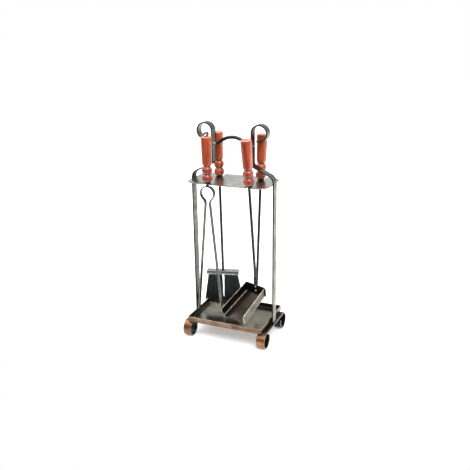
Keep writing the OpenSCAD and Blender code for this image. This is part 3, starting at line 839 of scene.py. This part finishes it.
def make_shaft(tool, place, low, node):
    """A round shaft from low, under the plate, up into the handle."""
    profile = [(0.0, low), (SHAFT_R - 0.6, low), (SHAFT_R - 0.15, low + 0.25), (SHAFT_R - TINY, low + 0.8)]
    profile += [(SHAFT_R - TINY, low + (SHAFT_TOP - low) * i / 24) for i in range(1, 24)]
    profile += [(SHAFT_R - TINY, SHAFT_TOP - 0.4), (0.0, SHAFT_TOP)]
    shaft = turned(f"{tool}_rod", profile, "black_bar", place, 28)
    show(shaft, tool, "black_bar", node)


# ---- tongs

STRIP_W, STRIP_T, BOW_R, WAIST_X, WAIST_R = 12.0, 3.0, 20.5, 6.9, 18.0
TIP_X, TIP_Z = 38.0, 79.0
EYE_R, EYE_T, EYE_PIN_R = 4.8, 2.8, 2.5


def tongs_arm_path():
    """The middle of the right arm's strip, from the top of the bow down to the tip."""
    bow = (0.0, -PLATE_T - STEM_DROP - STRIP_T / 2 - BOW_R)
    bow_end = -42
    end = math.radians(bow_end)
    run = (WAIST_X + WAIST_R - (BOW_R + WAIST_R) * math.cos(end)) / math.sin(end)
    waist = (WAIST_X + WAIST_R, bow[1] + (BOW_R + WAIST_R) * math.sin(end) - run * math.cos(end))
    tip_z = TIP_Z - PLATE_Z
    slope = math.degrees(math.atan((TIP_X - WAIST_X) / (waist[1] - tip_z)))
    bottom = (waist[0] - WAIST_R * math.cos(math.radians(slope)) + (waist[1] - tip_z)
              * math.tan(math.radians(slope)), tip_z + 1.5)
    return joined(arc(bow, BOW_R - TINY, 90, bow_end), arc(waist, WAIST_R, 180 + bow_end, 180 + slope),
                  [bottom]), bow


def make_tongs():
    """Handle, stem, eye and the bow, whose halves bend from the handle to their arms."""
    place = tool_place(LEFT_X, FRONT_Y)
    make_handle("tongs", place, 1)
    make_ferrule("tongs", place)
    make_shaft("tongs", place, -PLATE_T - STEM_DROP - 0.35, "tongs_stem")
    path, bow = tongs_arm_path()
    section = flat_section(STRIP_T - TINY, STRIP_W - TINY, 0.6)
    for side, word in SIDES:
        arm = sweep(f"tongs_strip_{word}", [(side * u, v) for u, v in path], section, "tongs_steel",
                    place @ UPRIGHT_PLANE, ends=0.7, offset=side * 700.0)
        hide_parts(f"tongs_arm_{word}")
        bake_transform(arm)
    path = joined([(0.0, GRIP_H - 14.0)], [(0.0, GRIP_H - 0.5)])
    pin = sweep("tongs_eye_pin", path, round_section(EYE_PIN_R), "black_bar", place @ UPRIGHT_PLANE)
    show(pin, "tongs", "bright_fixings")
    path = arc((0.0, GRIP_H + EYE_R + EYE_T / 2), EYE_R - TINY, -90, 200, 6)
    eye = sweep("tongs_eye", path, flat_section(EYE_T, STRIP_W, 0.5), "black_bar", place @ UPRIGHT_PLANE)
    show(eye, "tongs", "bright_fixings", "tongs_hook")


# ---- brush

HEAD_W, HEAD_D, CHANNEL_H, HEAD_TOP, BRUSH_TURN = 100.0, 22.0, 12.0, 180.0, 13.0
CHANNEL_T = 1.2
BRISTLE_Z, TUFT_TOP = 79.0, 88.0
TUFT_GAP = 4.7          # from the head's middle to a tuft
BRISTLE_IN = 3.0        # how far the bristles go up into the channel
TUFT_LEAN = {-1: (-0.165, 0.018), 1: (-0.018, 0.165)}
TUFT_INPUTS = {"Width": "Float", "Depth": "Float", "Length": "Float", "Centre": "Vector",
               "Lean In": "Float", "Lean Out": "Float", "Across": "Int", "Rows": "Int",
               "Thick": "Float", "Seed": "Int"}


def chance(tree, low, high, seed):
    """A random value for each bristle: a vector, or a number."""
    node = tree.nodes.new("FunctionNodeRandomValue")
    node.data_type, first = ("FLOAT_VECTOR", 0) if isinstance(low, tuple) else ("FLOAT", 2)
    feed(tree, node.inputs["Seed"], seed)
    feed(tree, node.inputs[first], low)
    feed(tree, node.inputs[first + 1], high)
    return node.outputs[first // 2]


def tuft_tree(finish):
    """Bristles stand in rows under the head; they lean out towards the ends and a little by chance."""
    tree = bpy.data.node_groups.new("bristle_tuft", "GeometryNodeTree")
    tree.interface.new_socket("Geometry", in_out="OUTPUT", socket_type="NodeSocketGeometry")
    for name, kind in TUFT_INPUTS.items():
        tree.interface.new_socket(name, in_out="INPUT", socket_type=f"NodeSocket{kind}")
    given = tree.nodes.new("NodeGroupInput").outputs
    grid = put(tree, "GeometryNodeMeshGrid", Size_X=given["Width"], Size_Y=given["Depth"],
               Vertices_X=given["Across"], Vertices_Y=given["Rows"])
    # places are shaken a little, so that the rows don't show
    shake = chance(tree, (-0.0007, -0.0005, 0.0), (0.0007, 0.0005, 0.0), given["Seed"])
    spread = put(tree, "GeometryNodeSetPosition", Geometry=grid.outputs["Mesh"], Offset=shake)
    # one bristle is a thin tapered cone that points down
    hair = put(tree, "GeometryNodeMeshCone", Vertices=4, Side_Segments=4, Radius_Top=0.00030,
               Radius_Bottom=given["Thick"], Depth=given["Length"])
    flip = put(tree, "GeometryNodeTransform", Geometry=hair.outputs["Mesh"], Rotation=(math.pi, 0.0, 0.0))
    # it leans by Lean In at the inner end of the tuft and by Lean Out at the outer end
    across = axis(tree, tree.nodes.new("GeometryNodeInputPosition").outputs[0], "X")
    half = calc(tree, "MULTIPLY", given["Width"], 0.5)
    lean = span(tree, across, calc(tree, "MULTIPLY", half, -1.0), half, given["Lean In"], given["Lean Out"])
    loose = chance(tree, (-0.022, -0.018, 0.0), (0.022, 0.018, 0.0), given["Seed"])
    turn = put(tree, "ShaderNodeCombineXYZ", X=axis(tree, loose, "X"),
               Y=calc(tree, "SUBTRACT", axis(tree, loose, "Y"), lean))
    size = put(tree, "ShaderNodeCombineXYZ", X=1.0, Y=1.0, Z=chance(tree, 0.955, 1.0, given["Seed"]))
    placed = put(tree, "GeometryNodeInstanceOnPoints", Points=spread.outputs[0], Instance=flip.outputs[0],
                 Rotation=turn.outputs[0], Scale=size.outputs[0])
    real = put(tree, "GeometryNodeRealizeInstances", Geometry=placed.outputs[0])
    move = put(tree, "GeometryNodeTransform", Geometry=real.outputs[0], Translation=given["Centre"])
    dress = put(tree, "GeometryNodeSetMaterial", Geometry=move.outputs[0], Material=finish)
    tree.links.new(dress.outputs[0], tree.nodes.new("NodeGroupOutput").inputs[0])
    return tree


def make_tuft(tree, side, word, place):
    """One tuft of bristles, made by the node tree, then turned into place."""
    play = 1.4           # the bristles' shake and half thickness, on both sides
    width = TUFT_TOP / 2 - 4.0 - play
    depth = HEAD_D - 2 * CHANNEL_T - 2.0 - play
    length = HEAD_TOP - CHANNEL_H - BRISTLE_Z + BRISTLE_IN
    mesh = bpy.data.meshes.new(f"bristles_{word}")
    tuft = add_object(f"bristles_{word}", mesh)
    modifier = tuft.modifiers.new("bristles", "NODES")
    modifier.node_group = tree
    values = {"Width": width * MM, "Depth": depth * MM, "Length": length * MM,
              "Centre": (side * (TUFT_GAP + width / 2) * MM, 0.0, BRISTLE_IN * MM),
              "Lean In": TUFT_LEAN[side][0], "Lean Out": TUFT_LEAN[side][1],
              "Across": 38, "Rows": 13, "Thick": 0.00062, "Seed": 11 + side}
    for item in tree.interface.items_tree:
        if item.in_out == "INPUT" and item.name in values:
            modifier[item.identifier] = values[item.name]
    settle(tuft)
    head = shifted(place, 0, 0, HEAD_TOP - CHANNEL_H - PLATE_Z)
    limit = HEAD_D / 2 - 2.3
    for vertex in tuft.data.vertices:
        local = vertex.co / MM
        local.y = max(min(local.y, limit), -limit)
        vertex.co = (head @ local) * MM
    for polygon in tuft.data.polygons:
        polygon.use_smooth = True
    show(tuft, "brush", "bristles", f"brush_tuft_{word}")


def make_brush_head(place):
    """A folded sheet channel, closed inside by a flat face in the channel's finish that stands for the dark
    wooden core.
    """
    head = shifted(place, 0, 0, HEAD_TOP - CHANNEL_H - PLATE_Z)
    half_x, half_y, high = HEAD_W / 2 - TINY, HEAD_D / 2 - TINY, CHANNEL_H - TINY
    loops = [(CHANNEL_T, 0.15, 0.6), (CHANNEL_T * 0.5, 0.0, 1), (0.1, 0.2, 1), (0.0, 0.8, 0),
             (0.0, high - 1.6, 0), (0.25, high - 0.7, 0.7), (0.7, high - 0.22, 1), (1.5, high, 0.4),
             (4.0, high, 0)]
    points, wear_and_painted_light, size = stack(loops, lambda inset: rounded_rectangle(
        half_x - inset, half_y - inset, max(1.6 - inset * 0.3, 0.6)))
    core_low, core_gap = 1.6, CHANNEL_T + 0.05
    core = [(x, y, core_low) for x, y in rounded_rectangle(half_x - core_gap, half_y - core_gap, 0.8)]
    inner = len(points)
    faces = bands(len(loops), size) + lids(len(loops), size)[1:]
    faces += [((i + 1) % size, i, inner + i, inner + (i + 1) % size) for i in range(size)]
    faces.append(tuple(inner + i for i in reversed(range(size))))
    channel = make_piece("brush_head", points + core, faces, "channel_pewter", head,
                         wear_and_painted_light=wear_and_painted_light + [0.0] * size)
    show(channel, "brush", "pewter_strip", "brush_channel", "brush_block")


def make_brush():
    """Handle, shaft, head and the two tufts."""
    place = tool_place(BRUSH_X, BACK_Y, BRUSH_TURN, 0.0, BRUSH_LEAN)
    make_handle("brush", place, 2)
    make_ferrule("brush", place, -BRUSH_LEAN)
    make_shaft("brush", place, HEAD_TOP - PLATE_Z - 2.0, "brush_shaft")
    make_brush_head(place)
    tree = tuft_tree(finishes["bristles"])
    make_tuft(tree, -1, "left", place)
    make_tuft(tree, 1, "right", place)


# ---- shovel

PAN_W, PAN_L, PAN_H, PAN_T, PAN_SLOPE, PAN_FLARE = 74.0, 105.0, 26.0, 1.5, 24.7, 3.5
PAN_ROUND, PAN_OUT = 0.35 * PAN_H, 2.0     # the walls' front corners; the back's place before the shaft
BACK_H = PAN_H / math.cos(math.radians(PAN_SLOPE)) + 1.0
SHOVEL_TURN, SHOVEL_LEAN, SHOVEL_L = -21.0, 5.0, 325.0
FLAT_L, FLAT_W, FLAT_T, FLAT_EASE = 40.0, 14.0, 4.0, 14.0


def pan_point(x, s, h):
    """A point of the pan: x across, s along its floor, h above the floor's underside."""
    slope = math.radians(PAN_SLOPE)
    reach = s * math.cos(slope) + h * math.sin(slope)
    wider = 1.0 + 2.0 * reach * math.tan(math.radians(PAN_FLARE)) / PAN_W
    return (x * wider, -PAN_OUT - reach, -SHOVEL_L - s * math.sin(slope) + h * math.cos(slope))


def make_pan(place):
    """Floor and side walls folded from one sheet; the walls' front corners are rounded."""
    mid = PAN_T / 2
    half, bend = PAN_W / 2 - mid - TINY, 3.0
    # the walls' top edges: worn, and a painted highlight along the rims
    wall = [(half, h, w) for h, w in ((PAN_H, 1.0), (PAN_H - 0.6, 1.0), (PAN_H - 1.6, 0.15),
                                      (PAN_H - 5, 0.0), (PAN_H - 12, 0.0), (bend + mid + 1.5, 0.0))]
    fold = [(half - bend + x, mid + bend + z, 0.25) for x, z in arc((0, 0), bend, 0, -90, 18)]
    right = wall + fold
    across, run = 14, half - bend
    floor = [(run - 2 * run * i / across, mid, 0.0) for i in range(1, across)]
    left = [(-x, h, w) for x, h, w in reversed(right)]
    section = right + floor + left
    stations = 36
    points, along, wear_and_painted_light = [], [], []
    for row in range(stations + 1):
        share = 1 - (1 - row / stations) ** 1.35      # closer together towards the front
        for x, h, w in section:
            start = -h * math.tan(math.radians(PAN_SLOPE))
            over = max(h - (PAN_H - PAN_ROUND), 0.0)
            end = PAN_L - PAN_ROUND + math.sqrt(max(PAN_ROUND ** 2 - over ** 2, 0.0)) - TINY
            s = start + (end - start) * share
            points.append(pan_point(x, s, h))
            along.append((s, x, h))
            # the front rows: worn, and a painted highlight along the front edges
            wear_and_painted_light.append(max(w, 0.9 if row >= stations - 1 and h > bend + mid else 0.0))
    faces = bands(stations + 1, len(section), closed=False)
    pan = make_piece("pan_sheet", points, faces, "bronze_sheet", place, along, wear_and_painted_light)
    skin = pan.modifiers.new("sheet", "SOLIDIFY")
    skin.thickness = (PAN_T - TINY) * MM
    skin.offset = 0.0
    edge = pan.modifiers.new("edge", "BEVEL")
    edge.width = 0.3 * MM
    edge.segments = 2
    edge.limit_method = "ANGLE"
    edge.angle_limit = math.radians(50)
    settle(pan)
    # outer wall faces get the lighter painted reflection
    pan.data.materials.append(finishes["pan_outside"])
    home = place.inverted()
    for polygon in pan.data.polygons:
        polygon.use_smooth = True
        facing = (home.to_3x3() @ polygon.normal).x * (home @ (polygon.center / MM)).x
        if facing > 0.7 * PAN_W / 2:
            polygon.material_index = 1
    show(pan, "shovel", "bronze_sheet", "shovel_pan")


def make_pan_back(place):
    """The pan's back wall: a cut sheet with a round ear at each end, against the shaft's flat."""
    ear_w, ear_r = 4.0, 9.0
    wide = PAN_W / 2 + ear_w - TINY
    outline = ([(-PAN_W / 2, 0.4), (PAN_W / 2, 0.4), (wide, ear_w)]
               + arc((wide - ear_r, BACK_H - ear_r), ear_r, 0, 90, 9)
               + arc((ear_r - wide, BACK_H - ear_r), ear_r, 90, 180, 9) + [(-wide, ear_w)])
    upright = shifted(place, 0, -PAN_OUT, -SHOVEL_L) @ Matrix.Rotation(math.pi / 2, 4, "X")
    back = slab("pan_back", outline, 0.02, PAN_T - 0.02, "bronze_sheet", upright, 0.35)
    show(back, "shovel", "bronze_sheet")


def make_pan_rivets(place):
    """Two round-headed rivets through the back wall and the shaft's flat."""
    for number, up in enumerate((0.3, 0.75)):
        spot = (shifted(place, 0, -PAN_OUT - PAN_T, -SHOVEL_L + up * BACK_H)
                @ Matrix.Rotation(math.pi / 2, 4, "X"))
        dome = [(0.0, 1.19), (1.4, 1.1), (2.6, 0.85), (3.5, 0.45), (3.9, 0.1), (3.9, 0.0), (2.4, 0.0),
                (2.4, -PAN_T - 3.9), (0.0, -PAN_T - 3.9)]
        rivet = turned(f"pan_rivet_{number + 1}", dome, "bright_fixings", spot, 32)
        show(rivet, "shovel", "bright_fixings", *(["shovel_rivets"] if number == 0 else []))


def make_shovel_shaft(place):
    """A round shaft whose lower end is hammered flat against the pan's back."""
    low, high, sides, squareness = -SHOVEL_L + 3.0, -SHOVEL_L + 3.0 + FLAT_L, 32, 0.25
    full = high + FLAT_EASE
    steps = [(low, 0.0), (low + 0.4, 0.0)]
    steps += [(low + 1 + (high - low - 1) * i / 12, 0.0) for i in range(13)]
    steps += [(high + FLAT_EASE * i / 8, i / 8) for i in range(1, 9)]
    steps += [(full + (SHAFT_TOP - full) * i / 20, 1.0) for i in range(1, 21)]
    points, along = [], []
    for row, (z, share) in enumerate(steps):
        ease = share * share * (3 - 2 * share)
        trim = TINY + (0.4 if row == 0 else 0.0)
        for i in range(sides):
            c, s = math.cos(math.tau * i / sides), math.sin(math.tau * i / sides)
            flat_x = math.copysign(abs(c) ** squareness, c) * (FLAT_W / 2 - trim)
            flat_y = math.copysign(abs(s) ** squareness, s) * (FLAT_T / 2 - trim)
            x = flat_x + (c * (SHAFT_R - TINY) - flat_x) * ease
            y = flat_y + (s * (SHAFT_R - TINY) - flat_y) * ease
            points.append((x, y, z))
            along.append((z, x, y))
    faces = bands(len(steps), sides) + lids(len(steps), sides)
    rod = make_piece("shovel_rod", points, faces, "black_bar", place, along)
    show(rod, "shovel", "black_bar", "shovel_shaft")


def make_shovel():
    """Handle, shaft and the riveted pan."""
    place = tool_place(RIGHT_X, FRONT_Y, SHOVEL_TURN, SHOVEL_LEAN)
    make_handle("shovel", place, 3)
    make_ferrule("shovel", place, SHOVEL_LEAN)
    make_shovel_shaft(place)
    make_pan(place)
    make_pan_back(place)
    make_pan_rivets(place)


# ---- poker

POKER_LEAN, POKER_Z, POINT_L = 2.2, 83.0, 22.0
HOOK_UP, HOOK_R, HOOK_TURN, HOOK_TIP = 30.0, 10.0, 30.0, 12.0


def make_poker():
    """Handle, pointed shaft and the hook beside its point."""
    place = tool_place(RIGHT_X, BACK_Y, 0.0, 0.0, POKER_LEAN)
    make_handle("poker", place, 4)
    make_ferrule("poker", place, POKER_LEAN)
    low = -(PLATE_Z - POKER_Z) / math.cos(math.radians(POKER_LEAN))
    tip_r, tip_h = 0.85, 0.8
    profile = [(0.0, low), (0.5, low + 0.15), (tip_r, low + tip_h)]
    profile += [(tip_r + (SHAFT_R - TINY - tip_r) * (i / 8) ** 0.8, low + tip_h + (POINT_L - tip_h) * i / 8)
                for i in range(1, 9)]
    profile += [(SHAFT_R - TINY, low + POINT_L + (SHAFT_TOP - low - POINT_L) * i / 24) for i in range(1, 25)]
    profile.append((0.0, SHAFT_TOP))
    rod = turned("poker_rod", profile, "black_bar", place, 28)
    show(rod, "poker", "black_bar", "poker_shaft")
    out = SHAFT_R + 3.0
    path = joined([(SHAFT_R - 1.5, 0.0)], [(out, 0.0)], arc((out, HOOK_R), HOOK_R - TINY, -90, 0, 6),
                  [(out + HOOK_R - TINY, HOOK_R + HOOK_TIP)])
    count = len(path)
    tip = sum(1 for p in path if p[1] > HOOK_R)
    scales = [1.0 if i < count - tip else 1.0 - 0.72 * (i - count + tip + 1) / tip for i in range(count)]
    hook_place = shifted(place, 0, 0, low + HOOK_UP) @ Matrix.Rotation(math.radians(HOOK_TURN), 4, "Z")
    prong = sweep("poker_prong", path, round_section(SHAFT_R - 0.75 - TINY, 20), "black_bar",
                  hook_place @ UPRIGHT_PLANE, scales, 0.3)
    show(prong, "poker", "black_bar", "poker_hook")


def dress_rivets():
    """The tray's rivets keep their own shape."""
    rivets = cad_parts["tray_rivets"]
    rivets.data.materials.clear()
    rivets.data.materials.append(finishes["tray_floor"])


add_camera()
add_studio()
make_foot_bars()
make_uprights()
make_tray()
make_shelf_plate()
make_carry_handle()
make_carry_nuts()
dress_rivets()
make_tongs()
make_brush()
make_shovel()
make_poker()
